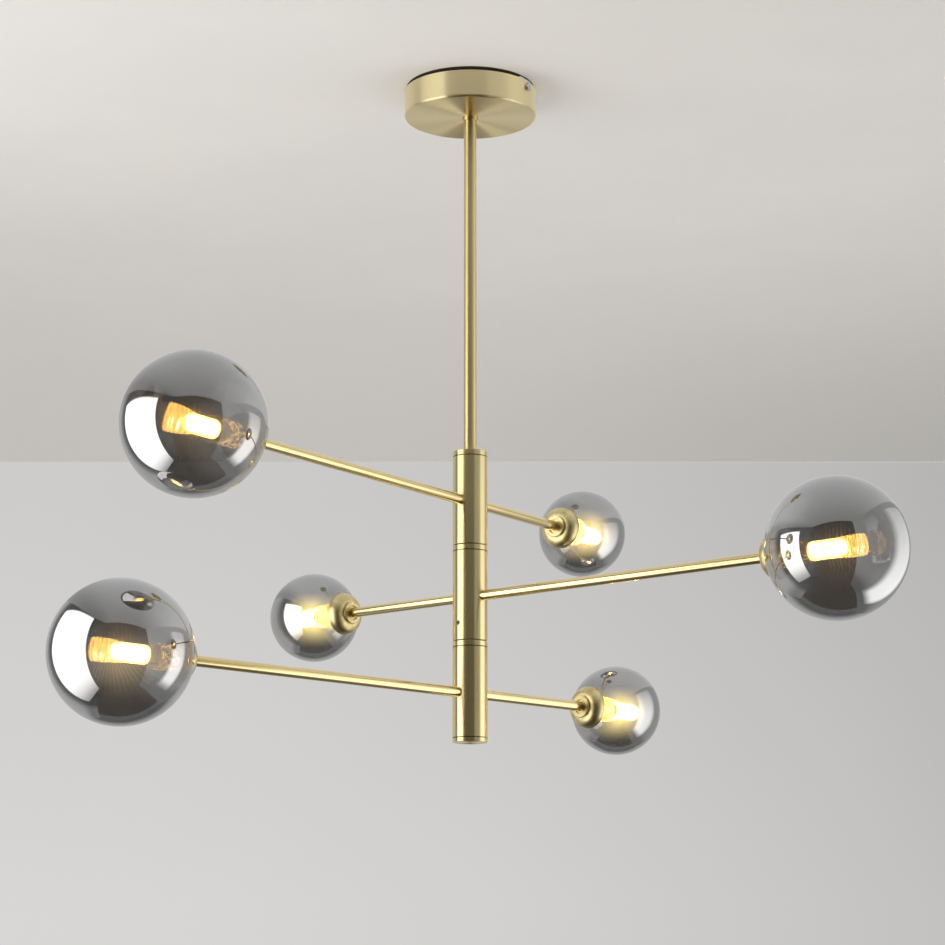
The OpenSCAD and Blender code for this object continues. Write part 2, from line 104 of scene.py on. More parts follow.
# Light strip: air round it, gap behind it, bevel, and how far its lit side reaches round it
STRIP_AIR = 0.0009
STRIP_GAP = 0.0005
STRIP_BEVEL = 0.001
STRIP_REACH = 0.12
# Ridges of the knurl on the rod's ring, their share of its height, and where their middle is
RIDGES = 44
RIDGE_SHARE = 0.7
RIDGE_MIDDLE = 0.45

# Strength of the painted glow of its lamp on each globe's coat
PAINTED_LAMP_GLOW = {"upper": {"long": 0.10, "short": 2.0}, "middle": {"long": 0.08, "short": 2.0},
        "lower": {"long": 0.42, "short": 1.95}}


# Shader maths
class Value:
    """A shader socket that can be used in Python expressions."""

    def __init__(self, paint, socket):
        self.paint = paint
        self.socket = socket

    def _with(self, operation, *others):
        return self.paint.node("ShaderNodeMath", {"operation": operation}, [self, *others])

    def __add__(self, other):
        return self._with("ADD", other)

    __radd__ = __add__

    def __sub__(self, other):
        return self._with("SUBTRACT", other)

    def __rsub__(self, other):
        return self.paint.node("ShaderNodeMath", {"operation": "SUBTRACT"}, [other, self])

    def __mul__(self, other):
        return self._with("MULTIPLY", other)

    __rmul__ = __mul__

    def __truediv__(self, other):
        return self._with("DIVIDE", other)

    def __pow__(self, other):
        return self._with("POWER", other)

    def hypot(self, other):
        return (self * self + other * other) ** 0.5

    def sine(self):
        return self._with("SINE")

    def size(self):
        return self._with("ABSOLUTE")

    def angle(self, other):
        """Angle of the point (other, self) about the origin."""
        return self._with("ARCTAN2", other)

    def clamped(self):
        return self.paint.node("ShaderNodeClamp", {}, [self])

    def step(self, start, end):
        """0 up to start, 1 from end on, with a smooth way between."""
        return self.paint.node("ShaderNodeMapRange", {"interpolation_type": "SMOOTHSTEP"},
                               [self, start, end, 0.0, 1.0])


class Paint:
    """One node tree: adds a node from its type, settings and socket values or links."""

    def __init__(self, tree):
        self.tree = tree
        tree.nodes.clear()

    def node(self, kind, settings=None, sockets=None, output=0):
        made = self.tree.nodes.new(kind)
        for name, value in (settings or {}).items():
            setattr(made, name, value)
        pairs = sockets.items() if isinstance(sockets, dict) else enumerate(sockets or [])
        for key, value in pairs:
            socket = made.inputs[key]
            if isinstance(value, Value):
                self.tree.links.new(value.socket, socket)
            elif value is not None:
                socket.default_value = value
        if not made.outputs:
            return made
        return Value(self, made.outputs[output])

    def place(self, centre=(0, 0, 0), turn=0.0, scale=(1, 1, 1)):
        """Object coordinates, moved to a centre, turned back by an arm's turn and scaled."""
        plain = self.node("ShaderNodeTexCoord", output="Object")
        moved = self.node("ShaderNodeVectorMath", {"operation": "SUBTRACT"}, [plain, centre])
        turned = self.node("ShaderNodeVectorRotate", {"rotation_type": "Z_AXIS"},
                           {"Vector": moved, "Angle": -turn})
        return self.node("ShaderNodeVectorMath", {"operation": "MULTIPLY"}, [turned, scale])

    def axes(self, vector):
        split = self.node("ShaderNodeSeparateXYZ", {}, [vector])
        return [Value(self, split.socket.node.outputs[i]) for i in range(3)]

    def noise(self, vector, scale, detail=2.0, rough=0.5):
        return self.node("ShaderNodeTexNoise", {"noise_dimensions": "3D"},
                         {"Vector": vector, "Scale": scale, "Detail": detail, "Roughness": rough})

    def mix(self, factor, low, high):
        made = self.node("ShaderNodeMix", {"data_type": "RGBA"}, {})
        node = made.socket.node
        for index, value in ((0, factor), (6, low), (7, high)):
            if isinstance(value, Value):
                self.tree.links.new(value.socket, node.inputs[index])
            else:
                node.inputs[index].default_value = value if index == 0 else (*value, 1.0)
        return Value(self, node.outputs[2])

    def shares(self, factor, colour, low, high=1.0):
        """A colour that varies between two shares of itself."""
        return self.mix(factor, [c * low for c in colour], [min(1.0, c * high) for c in colour])

    def bump(self, height, distance, strength=1.0):
        return self.node("ShaderNodeBump", {}, {
            "Height": height, "Distance": distance, "Strength": strength})

    def surface(self, shader, target="ShaderNodeOutputMaterial"):
        self.node(target, {}, {"Surface": shader})


def finish(name, **constants):
    """A new material with its paint, and a function that ends it with a Principled shader."""
    material = bpy.data.materials.new(name)
    material.use_nodes = True
    paint = Paint(material.node_tree)

    def end(**sockets):
        values = {key.replace("_", " "): value for key, value in {**constants, **sockets}.items()}
        paint.surface(paint.node("ShaderNodeBsdfPrincipled", {}, values))
        return material

    return paint, end


def rgba(colour):
    return (*colour, 1.0)


def turned_brass(name, colour, rough, grain, seams=()):
    """Satin brass off the lathe: fine rings about the upright axis stretch its highlights, and
    dark joint lines go round it at the given heights."""
    paint, end = finish(name, Metallic=1.0, Anisotropic=1.0, Anisotropic_Rotation=UPRIGHT)
    x, y, z = paint.axes(paint.place())
    rings = paint.node("ShaderNodeCombineXYZ", {}, [x.hypot(y), z, 0.0])
    fine = paint.noise(rings, grain, 3.0, 0.6)
    broad = paint.noise(paint.place(), 14.0, 3.0)
    shade = paint.shares((fine * 0.6 + broad * 0.4).step(0.3, 0.7), colour, 0.94, 1.05)
    for seam in seams:
        line = (z - seam).size().step(*JOINT_LINE)
        shade = paint.mix(line, [c * 0.16 for c in colour], shade)
    return end(Base_Color=shade,
               Roughness=(rough - 0.05) + fine * 0.06 + broad * 0.05,
               Normal=paint.bump(fine, 0.002 / grain, 0.5))


def spun_brass(name, colour, rough, turn, height):
    """Satin brass of the spun cups: fine rings about the arm at this turn and height."""
    paint, end = finish(name, Metallic=1.0)
    along, across, up = paint.axes(paint.place((0, 0, height), turn))
    radius = across.hypot(up)
    rings = paint.node("ShaderNodeCombineXYZ", {}, [radius, along, 0.0])
    fine = paint.noise(rings, CUP_GRAIN, 2.0, 0.6)
    broad = paint.noise(paint.place(), 60.0, 3.0)
    rays = paint.noise(paint.node("ShaderNodeCombineXYZ", {}, [up.angle(across), 0.0, 0.0]), 2.2, 3.0)
    shade = paint.shares((rays * 0.7 + broad * 0.3).step(0.35, 0.65), colour, 0.82, 1.08)
    return end(Base_Color=shade,
               Roughness=(rough - 0.04) + fine * 0.06 + broad * 0.04,
               Normal=paint.bump(fine, 0.16 / CUP_GRAIN, 1.0))


def drawn_brass(name, colour, rough, turn):
    """Bright drawn tube: faint lines along its length and a few softer patches."""
    paint, end = finish(name, Metallic=1.0)
    lines = paint.noise(paint.place(turn=turn, scale=(DRAWN, 1, 1)), 900.0, 2.0)
    broad = paint.noise(paint.place(turn=turn), 22.0, 3.0)
    shade = paint.shares((lines * 0.4 + broad * 0.6).step(0.3, 0.7), colour, 0.95, 1.04)
    return end(Base_Color=shade,
               Roughness=(rough - 0.04) + lines * 0.05 + broad * 0.05,
               Normal=paint.bump(lines, GRAIN_DEPTH, 0.4))


def satin_brass(name, colour, rough, glow=0.0):
    """Satin brass of the threaded sleeves: an even grain, with painted glints of the lamp's light in warm
    spots of its emission.
    """
    paint, end = finish(name, Metallic=1.0, Emission_Strength=glow)
    grain = paint.noise(paint.place(), 2600.0, 2.0)
    broad = paint.noise(paint.place(), 60.0, 3.0)
    shade = paint.shares(broad.step(0.3, 0.7), colour, 0.93, 1.05)
    # The warm emission spots are painted glints of the lamp's light
    return end(Base_Color=shade,
               Roughness=(rough - 0.05) + grain * 0.06 + broad * 0.06,
               Emission_Color=paint.mix(paint.noise(paint.place(), 260.0, 2.0).step(0.42, 0.62),
                                        (0.06, 0.03, 0.005), (1.0, 0.64, 0.22)),
               Normal=paint.bump(grain, GRAIN_DEPTH, 0.4))


def plain_metal(name, colour, rough):
    """Steel screws, nuts and spindles: polished, with handling marks."""
    paint, end = finish(name, Metallic=1.0)
    marks = paint.noise(paint.place(), 400.0, 4.0, 0.6)
    shade = paint.shares(marks.step(0.35, 0.7), colour, 0.88)
    return end(Base_Color=shade, Roughness=(rough - 0.05) + marks * 0.12,
               Normal=paint.bump(marks, GRAIN_DEPTH, 0.3))


def matt(name, colour, rough, grain=300.0):
    """Nylon and ceramic: matt, with a slight mottle."""
    paint, end = finish(name)
    mottle = paint.noise(paint.place(), grain, 3.0)
    shade = paint.shares(mottle.step(0.3, 0.7), colour, 0.9)
    return end(Base_Color=shade, Roughness=(rough - 0.05) + mottle * 0.1,
               Normal=paint.bump(mottle, 2 * GRAIN_DEPTH, 0.4))


def mirror_coat(name, colour, see_through, centre, radius, painted_glow_strength, small, pitch):
    """Smoked half-mirror coat on the outside of a globe, thin round its mouth, denser where it
    is seen edge on. Its emission paints the glow of the lamp behind it, and short bright strokes paint the
    reflection of the lamp's ribs."""
    paint, end = finish(name, Metallic=1.0, Base_Color=rgba(colour), Emission_Strength=painted_glow_strength)
    edge = paint.node("ShaderNodeLayerWeight", {}, {"Blend": 0.35}, output="Facing")
    dust = paint.noise(paint.place(), 220.0, 4.0, 0.65)
    _, height, _ = paint.axes(paint.node("ShaderNodeTexCoord", output="UV"))
    along = height / radius
    front = 1.0 - paint.node("ShaderNodeLayerWeight", {}, {"Blend": 0.5}, output="Facing")
    x, _, z = paint.axes(paint.place(centre, scale=(1 / radius, 1 / radius, 1 / radius)))
    if small:
        # A painted glow of lamp light, fading above and below the lamp and at the rim
        level = (z + PAINTED_HALO_DROP) * (z + PAINTED_HALO_DROP) * 2.6
        painted_halo = front ** 8.0 * (1.0 - level).clamped()
        painted_halo = painted_halo * along.step(0.0, 0.3) * (1.0 - along).step(0.0, 0.1)
        tint, stroke = (1.0, 0.78, 0.30), 0.06
    else:
        # Painted rays of lamp light that fan out from the lamp, stronger below it
        rays = (z.angle(x) * PAINTED_RAY_COUNT).sine() * 0.13 + 0.87
        painted_halo = front ** 13.0 * (0.2 + 0.8 * (0.0 - z).step(-0.15, 0.2)) * rays
        tint, stroke = (1.0, 0.76, 0.47), 0.35
    # Painted reflection of the lamp's ribs: short bright strokes at the rib pitch
    painted_rib_reflection = (height * (math.tau / pitch)).sine() * 0.5 + 0.5
    painted_rib_reflection = front ** 60.0 * painted_rib_reflection * painted_rib_reflection * dust.step(0.3, 0.6)
    painted_halo_colour = paint.mix(painted_halo, BLACK, tint)
    glow = paint.mix(painted_rib_reflection, painted_halo_colour, [c * stroke / painted_glow_strength for c in (1.0, 0.52, 0.13)])
    passed = (along.step(0.65, 0.9) * 0.4 + see_through) * (1.0 - edge * edge * 0.5)
    return end(Roughness=0.015 + dust.step(0.62, 0.8) * 0.03,
               Emission_Color=glow,
               Alpha=1.0 - passed)


def clear_inside(name):
    """Clear inner face of the blown glass."""
    paint, end = finish(name, Metallic=1.0, Base_Color=rgba((0.9, 0.9, 0.9)))
    ripple = paint.noise(paint.place(), 18.0, 2.0)
    return end(Roughness=0.02 + ripple * 0.02, Alpha=0.05)


def lamp_capsule(name, colour, strength, alpha=0.5):
    """Golden glass of a lamp's capsule and its ribs."""
    paint, end = finish(name, Emission_Strength=strength)
    mottle = paint.noise(paint.place(), 500.0, 2.0)
    glow = paint.shares(mottle.step(0.35, 0.65), colour, 0.85)
    return end(Base_Color=rgba((0.9, 0.8, 0.6)), Roughness=0.15 + mottle * 0.1,
               Emission_Color=glow, Alpha=alpha)


def strip_back(name, height, radius, pitch, strength):
    """Back of a light strip at this height: amber, with ribs of light and a row of bright chips."""
    paint, end = finish(name, Emission_Strength=strength)
    _, along, _ = paint.axes(paint.node("ShaderNodeTexCoord", output="UV"))
    _, _, z = paint.axes(paint.place((0, 0, height)))
    mottle = paint.noise(paint.place(), 700.0, 2.0)
    rib = ((along * (math.tau / pitch)).sine() * 0.5 + 0.5) ** 3.0
    up = z / radius
    row = up.step(0.2, 0.4) * (1.0 - up).step(0.15, 0.35)
    chip = row * (along * (math.tau / CHIP_PITCH)).sine().step(-0.5, 0.3) * mottle.step(0.25, 0.5)
    glass = paint.mix(rib * mottle.step(0.3, 0.6), (0.16, 0.05, 0.006), (1.0, 0.60, 0.15))
    return end(Base_Color=rgba((0.9, 0.8, 0.6)), Roughness=0.3 + mottle * 0.1,
               Emission_Color=paint.mix(chip, glass, (9.0, 7.5, 4.5)))


def light_strip(name, colour, strength):
    """Lit chips on the strip, white with a warm edge."""
    paint, end = finish(name, Emission_Strength=strength)
    mottle = paint.noise(paint.place(), 900.0, 1.0)
    glow = paint.shares(mottle.step(0.3, 0.7), colour, 0.9)
    return end(Base_Color=rgba((0.9, 0.85, 0.7)), Roughness=0.5 + mottle * 0.1, Emission_Color=glow)


# Meshes
def revolve(profile, steps, material=0):
    """Faces of a profile of (radius, height) points turned about Z, closed at its poles."""
    rings = []
    mesh = bmesh.new()
    layer = mesh.loops.layers.uv.new("profile")
    for radius, height in profile:
        if radius < 1e-7:
            rings.append([mesh.verts.new((0, 0, height))])
        else:
            rings.append([mesh.verts.new((radius * math.cos(math.tau * i / steps),
                                          radius * math.sin(math.tau * i / steps), height))
                          for i in range(steps)])
    for low, high in zip(rings, rings[1:]):
        for i in range(steps):
            j = (i + 1) % steps
            corners = [low[i % len(low)], low[j % len(low)], high[j % len(high)], high[i % len(high)]]
            corners = list(dict.fromkeys(corners))
            if len(corners) > 2:
                face = mesh.faces.new(corners)
                face.material_index = material
                for loop in face.loops:
                    loop[layer].uv = (loop.vert.co.xy.length, loop.vert.co.z)
    return mesh


def arc(radius, start, end, steps, height=0.0):
    """Points of a circle about (0, height), by angles from +Z in degrees."""
    angles = [math.radians(start + (end - start) * i / steps) for i in range(steps + 1)]
    return [(radius * math.sin(a), height + radius * math.cos(a)) for a in angles]


def joined(parts):
    """One bmesh from (bmesh, matrix) pairs."""
    whole = bmesh.new()
    for part, matrix in parts:
        scratch = bpy.data.meshes.new("scratch")
        part.to_mesh(scratch)
        scratch.transform(matrix)
        whole.from_mesh(scratch)
        bpy.data.meshes.remove(scratch)
    return whole


def piece(name, mesh, materials, sharp=35.0):
    """A finished object from a bmesh: doubles merged, normals out, smooth but for sharp edges."""
    bmesh.ops.remove_doubles(mesh, verts=mesh.verts, dist=1e-7)
    bmesh.ops.recalc_face_normals(mesh, faces=mesh.faces)
    for face in mesh.faces:
        face.smooth = True
    for edge in mesh.edges:
        edge.smooth = edge.calc_face_angle(0.0) < math.radians(sharp)
    data = bpy.data.meshes.new(name)
    mesh.to_mesh(data)
    mesh.free()
    made = bpy.data.objects.new(name, data)
    bpy.context.scene.collection.objects.link(made)
    for material in materials:
        data.materials.append(material)
    return made


class Rule:
    """A Geometry Nodes tree with named inputs that ends in Realize Instances and Set Material."""

    def __init__(self, name, inputs):
        self.tree = bpy.data.node_groups.new(name, "GeometryNodeTree")
        self.tree.interface.new_socket("Geometry", in_out="OUTPUT",
                                       socket_type="NodeSocketGeometry")
        self.inputs = {
            label: self.tree.interface.new_socket(label, in_out="INPUT",
                                                  socket_type="NodeSocket" + kind)
            for label, kind in [*inputs, ("Material", "Material")]}
        self.source = self.tree.nodes.new("NodeGroupInput")

    def given(self, label):
        return self.source.outputs[label]

    def node(self, kind, settings=None, sockets=None, output=0):
        made = self.tree.nodes.new(kind)
        for name, value in (settings or {}).items():
            setattr(made, name, value)
        for key, value in (sockets or {}).items():
            if isinstance(value, bpy.types.NodeSocket):
                self.tree.links.new(value, made.inputs[key])
            else:
                made.inputs[key].default_value = value
        return made.outputs[output]

    def end(self, geometry):
        solid = self.node("GeometryNodeRealizeInstances", sockets={"Geometry": geometry})
        done = self.node("GeometryNodeSetMaterial", sockets={
            "Geometry": solid, "Material": self.given("Material")})
        out = self.tree.nodes.new("NodeGroupOutput")
        self.tree.links.new(done, out.inputs["Geometry"])
        return self

    def grown(self, **values):
        """The rule's result as a bmesh, for these inputs."""
        seed = bpy.data.objects.new("seed", bpy.data.meshes.new("seed"))
        bpy.context.scene.collection.objects.link(seed)
        modifier = seed.modifiers.new("rule", "NODES")
        modifier.node_group = self.tree
        for label, value in values.items():
            modifier[self.inputs[label].identifier] = value
        ready = seed.evaluated_get(bpy.context.evaluated_depsgraph_get())
        data = bpy.data.meshes.new_from_object(ready)
        grown = bmesh.new()
        grown.from_mesh(data)
        bpy.data.meshes.remove(data)
        seed.modifiers.clear()
        bpy.data.objects.remove(seed)
        return grown


def thread_rule():
    """Round thread wound about Z, from height 0 up."""
    rule = Rule("thread", [("Radius", "Float"), ("Turns", "Float"), ("Length", "Float"),
                           ("Wire", "Float")])
    helix = rule.node("GeometryNodeCurveSpiral", {}, {
        "Resolution": 40, "Rotations": rule.given("Turns"), "Start Radius": rule.given("Radius"),
        "End Radius": rule.given("Radius"), "Height": rule.given("Length")})
    wire = rule.node("GeometryNodeCurvePrimitiveCircle", {}, {
        "Resolution": 8, "Radius": rule.given("Wire")})
    return rule.end(rule.node("GeometryNodeCurveToMesh", {}, {
        "Curve": helix, "Profile Curve": wire, "Fill Caps": True}))


def knurl_rule():
    """Ring of upright half-round ridges about Z, centred on height 0."""
    rule = Rule("knurl", [("Count", "Int"), ("Radius", "Float"), ("Ridge", "Float"),
                          ("Height", "Float")])
    ring = rule.node("GeometryNodeMeshCircle", {}, {
        "Vertices": rule.given("Count"), "Radius": rule.given("Radius")})
    ridge = rule.node("GeometryNodeMeshCylinder", {}, {
        "Vertices": 8, "Radius": rule.given("Ridge"), "Depth": rule.given("Height")})
    return rule.end(rule.node("GeometryNodeInstanceOnPoints", {}, {
        "Points": ring, "Instance": ridge}))


def rib_rule():
    """Rings stacked along Z, from height 0 down."""
    rule = Rule("ribs", [("Count", "Int"), ("Pitch", "Float"), ("Radius", "Float"),
                         ("Rib", "Float")])
    step = rule.node("ShaderNodeCombineXYZ", {}, {"Z": rule.node(
        "ShaderNodeMath", {"operation": "MULTIPLY"}, {0: rule.given("Pitch"), 1: -1.0})})
    rings = rule.node("GeometryNodeMeshLine", {}, {"Count": rule.given("Count"), "Offset": step})
    circle = rule.node("GeometryNodeCurvePrimitiveCircle", {}, {
        "Resolution": 48, "Radius": rule.given("Radius")})
    wire = rule.node("GeometryNodeCurvePrimitiveCircle", {}, {
        "Resolution": 8, "Radius": rule.given("Rib")})
    ring = rule.node("GeometryNodeCurveToMesh", {}, {"Curve": circle, "Profile Curve": wire})
    return rule.end(rule.node("GeometryNodeInstanceOnPoints", {}, {
        "Points": rings, "Instance": ring}))


def globe_place(node):
    """Centre and radius of a globe, from its CAD box."""
    low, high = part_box(node)
    return (low + high) / 2, (high.z - low.z) / 2


def lamp_frame(tier, end):
    """Matrix of a globe: origin at its centre, +Z towards the column; and its radius."""
    centre, radius = globe_place(f"{tier}_{end}_globe")
    inwards = Vector((-centre.x, -centre.y, 0)).normalized()
    upwards = Vector((0, 0, 1))
    matrix = Matrix((upwards.cross(inwards), upwards, inwards)).transposed().to_4x4()
    return Matrix.Translation(centre) @ matrix, radius


def lamp_start(sizes, radius):
    """Height of a threaded sleeve's inner end over its globe's centre."""
    return math.sqrt(radius ** 2 - sizes.cup_rim ** 2) + sizes.seat - sizes.sleeve_in


def collar_foot(sizes, radius):
    """Height of the foot of the glass collar over its globe's centre."""
    inner = radius - sizes.glass_wall
    return math.sqrt(inner ** 2 - sizes.collar_radius ** 2) - sizes.collar_depth


def dress(nodes, material):
    """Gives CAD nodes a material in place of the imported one."""
    for name in nodes:
        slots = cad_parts[name].data.materials
        slots.clear()
        slots.append(material)


# Sizes and colours that a user would change
class LightSizes(bpy.types.PropertyGroup):
    glass_wall: FloatProperty(
        name="Glass wall", description="Thickness of the blown globes",
        default=0.002, unit="LENGTH")
    mouth_radius: FloatProperty(
        name="Mouth radius", description="Inner radius of a globe's collar",
        default=0.0106, unit="LENGTH")
    collar_radius: FloatProperty(
        name="Glass collar radius", description="Outer radius of a globe's collar",
        default=0.013, unit="LENGTH")
    collar_depth: FloatProperty(
        name="Glass collar depth", description="Depth of the collar inside the globe",
        default=0.004, unit="LENGTH")
    cup_rim: FloatProperty(
        name="Cup rim radius", description="Inner radius of a cup's rim, which sits on the glass",
        default=0.0188, unit="LENGTH")
    seat: FloatProperty(
        name="Seat", description="Gap between a cup's rim and its globe",
        default=0.0003, unit="LENGTH")
    sleeve_in: FloatProperty(
        name="Sleeve reach", description="Reach of the threaded sleeve past the cup's rim",
        default=0.023, unit="LENGTH")
    sleeve_radius: FloatProperty(
        name="Sleeve radius", description="Outer radius of the threaded sleeve",
        default=0.0105, unit="LENGTH")
    base_length: FloatProperty(
        name="Lamp base", description="Length of a lamp's base between sleeve and capsule",
        default=0.0095, unit="LENGTH")
    capsule_length: FloatProperty(
        name="Capsule length", description="Length of a lamp's capsule",
        default=0.036, unit="LENGTH")
    capsule_radius: FloatProperty(
        name="Capsule radius", description="Radius of a lamp's capsule",
        default=0.0078, unit="LENGTH")
    capsule_wall: FloatProperty(
        name="Capsule wall", description="Wall of a lamp's capsule",
        default=0.0008, unit="LENGTH")
    rib_pitch: FloatProperty(
        name="Rib pitch", description="Pitch of the ribs round a lamp's capsule",
        default=0.0026, unit="LENGTH")
    rib: FloatProperty(
        name="Rib", description="Radius of a rib round a lamp's capsule",
        default=0.00045, unit="LENGTH")
    thread_pitch: FloatProperty(
        name="Thread pitch", description="Pitch of the threaded sleeves",
        default=0.002, unit="LENGTH")
    thread_wire: FloatProperty(
        name="Thread wire", description="Radius of the round thread",
        default=0.0004, unit="LENGTH")
    knurl_ridge: FloatProperty(
        name="Knurl ridge", description="Radius of a ridge on the rod's ring",
        default=0.00022, unit="LENGTH")


class LightColours(bpy.types.PropertyGroup):
    satin: FloatVectorProperty(
        name="Satin brass", description="Colour of the canopy, column and cups",
        subtype="COLOR", size=3, default=(0.87, 0.725, 0.37))
    bright: FloatVectorProperty(
        name="Bright brass", description="Colour of the rod and arms",
        subtype="COLOR", size=3, default=(0.86, 0.69, 0.34))
    steel: FloatVectorProperty(
        name="Steel", description="Colour of screws, nuts and spindles",
        subtype="COLOR", size=3, default=(0.62, 0.62, 0.62))
    smoke: FloatVectorProperty(
        name="Mirror coat", description="Colour of the globes' coat",
        subtype="COLOR", size=3, default=(0.53, 0.522, 0.512))
    see_through: FloatProperty(
        name="See-through", description="Share of light that passes one wall of a globe",
        subtype="FACTOR", min=0.0, max=1.0, default=0.21)
    glow: FloatVectorProperty(
        name="Capsule glow", description="Colour of the lamps' capsules",
        subtype="COLOR", size=3, default=(1.0, 0.50, 0.07))
    glow_strength: FloatProperty(
        name="Capsule strength", description="Strength of the capsules' glow", default=8.0)
    core: FloatVectorProperty(
        name="Strip glow", description="Colour of the lit strips",
        subtype="COLOR", size=3, default=(1.0, 0.80, 0.45))
    core_strength: FloatProperty(
        name="Strip strength", description="Strength of the lit strips", default=100.0)


class StudioSettings(bpy.types.PropertyGroup):
    panel: FloatProperty(
        name="Panels", description="Strength of the two bright panels", default=2.7)
    backdrop: FloatVectorProperty(
        name="Backdrop", description="Colour of the pale backdrop",
        subtype="COLOR", size=3, default=(0.60, 0.59, 0.565))
    lens: FloatProperty(
        name="Lens", description="Focal length of the camera in millimetres",
        default=100.52)
    pitch: FloatProperty(
        name="Pitch", description="How far the camera looks up",
        subtype="ANGLE", default=math.radians(11.51))
    eye: FloatVectorProperty(
        name="Eye", description="Place of the camera",
        subtype="TRANSLATION", size=3, default=(0.00225, -2.39815, -0.86155))


class LIGHT_OT_stage(bpy.types.Operator):
    """Sets the camera, the pale backdrop, floor and ceiling, and the bright panels"""
    bl_idname = "ceiling_light.stage"
    bl_label = "Stage"

    def execute(self, context):
        studio = context.scene.light_studio
        lens = bpy.data.cameras.new("camera")
        lens.lens = studio.lens
        lens.sensor_width = 36.0
        lens.clip_start = 0.05
        lens.clip_end = 100.0
        camera = bpy.data.objects.new("camera", lens)
        camera.location = studio.eye
        camera.rotation_euler = (math.pi / 2 + studio.pitch, 0, 0)
        context.scene.collection.objects.link(camera)
        context.scene.camera = camera
        context.scene.view_settings.view_transform = "Standard"
        self.world(context.scene, studio)
        self.room(studio)
        return {"FINISHED"}

    def world(self, scene, studio):
        """Pale for the eye and for soft light, dark in the metal where the studio is open."""
        scene.world = bpy.data.worlds.new("studio")
        scene.world.use_nodes = True
        paint = Paint(scene.world.node_tree)
        path = paint.node("ShaderNodeLightPath").socket.node
        glossy = Value(paint, path.outputs["Is Glossy Ray"])
        soft = Value(paint, path.outputs["Is Diffuse Ray"])
        seen = paint.mix(glossy, list(studio.backdrop), (0.046, 0.035, 0.024))
        lit = paint.mix(soft, seen, (1.05, 1.03, 1.01))
        paint.surface(paint.node("ShaderNodeBackground", {}, {"Color": lit, "Strength": 1.0}),
                      "ShaderNodeOutputWorld")

    def room(self, studio):
        """Floor and ceiling for the eye, and cards that only metal, glass and soft light see."""
        floor = self.card("floor", ((-REACH, -REACH, FLOOR), (REACH, -REACH, FLOOR),
                                    (REACH, REACH, FLOOR), (-REACH, REACH, FLOOR)),
                          matt("floor", (0.72, 0.71, 0.69), 0.9, 160.0))
        floor.visible_glossy = False
        self.ceiling()
        self.wall()
        # u runs across a card and v up it, both from 0 to 1. The left panel fades to its foot, the
        # right one to all its edges, and the ceiling's card to its near edge and its left one
        self.reflected("left_panel", PANELS["left"], studio.panel,
                       lambda u, v: (u.step(0.0, 0.06) * (1.0 - u).step(0.0, 0.02)
                                     * (0.16 + 0.84 * v.step(0.0, 0.6)) * (1.0 - v).step(0.0, 0.02)),
                       soft=True, ground=0.10)
        self.reflected("right_panel", PANELS["right"], studio.panel * 0.72,
                       lambda u, v: (u.step(-0.12, 0.3) * (1.0 - u).step(0.0, 0.24)
                                     * v.step(0.0, 0.32) * (1.0 - v).step(-0.25, 0.45)),
                       soft=True, ground=0.18)
        self.reflected("ceiling_card", [(x, y, CARD_RISE) for x, y in CEILING], 0.75,
                       lambda u, v: ((0.45 + 0.55 * v.step(0.0, 0.45))
                                     * (0.56 + 0.44 * u.step(0.06, 0.3))))
        # Side walls under the ceiling card's outline, in four lengths, brighter to the top
        for side, outline, pattern in (
                ("left", CEILING[:5], lambda u, v: (
                    (0.12 + 0.14 * (1.0 - u).step(0.45, 0.6) + 1.1 * (1.0 - u).step(0.73, 0.82))
                    * (1.2 - 0.5 * v) * (0.3 + 0.7 * v.step(0.2, 0.55)))),
                ("right", CEILING[5:][::-1], lambda u, v: (
                    (0.60 + 0.15 * (1.0 - u).step(0.3, 0.6)) * (0.4 + 0.6 * v.step(0.3, 0.6))))):
            lean = -LEAN if side == "left" else LEAN
            for index, (start, stop) in enumerate(zip(outline, outline[1:])):
                self.reflected(f"{side}_wall_{index}", (
                    (*start, CARD_RISE), (*stop, CARD_RISE),
                    (stop[0] + lean, stop[1], CARD_FOOT), (start[0] + lean, start[1], CARD_FOOT)),
                    0.6, lambda u, v, pattern=pattern, index=index: pattern((u + index) * 0.25, v))
        hidden = BACK + 0.01
        self.reflected("back_wall", ((CARD_WIDE, hidden, 0.0), (-CARD_WIDE, hidden, 0.0),
                                     (-CARD_WIDE, hidden, CARD_FOOT), (CARD_WIDE, hidden, CARD_FOOT)),
                       0.58, lambda u, v: (0.8 + 0.2 * v) * (0.25 + 0.75 * v.step(0.12, 0.5)))
        near = BACK - 0.70
        self.reflected("back_floor", ((-CARD_WIDE, near, CARD_FOOT), (CARD_WIDE, near, CARD_FOOT),
                                      (CARD_WIDE, BACK, CARD_FOOT), (-CARD_WIDE, BACK, CARD_FOOT)),
                       0.16, lambda u, v: 0.9 + 0.1 * v)

    def ceiling(self):
        """Painted ceiling, a little pitted, shaded towards its far right and over the canopy."""
        paint, end = finish("ceiling", Roughness=0.9)
        patch = paint.noise(paint.place(), 1.3, 4.0, 0.6)
        pits = paint.noise(paint.place(), 90.0, 3.0, 0.6).step(0.74, 0.8)
        x, y, _ = paint.axes(paint.place())
        tone = paint.mix(patch.step(0.3, 0.75), (0.80, 0.79, 0.77), (0.86, 0.845, 0.815))
        tone = paint.mix(y.step(0.3, 1.7), tone, (0.80, 0.795, 0.785))
        # Painted shade towards the far right of the ceiling's back
        tone = paint.mix(y.step(0.3, 1.7) * x.step(-0.2, 0.8), tone, (0.64, 0.64, 0.63))
        tone = paint.mix(pits, tone, (0.62, 0.60, 0.57))
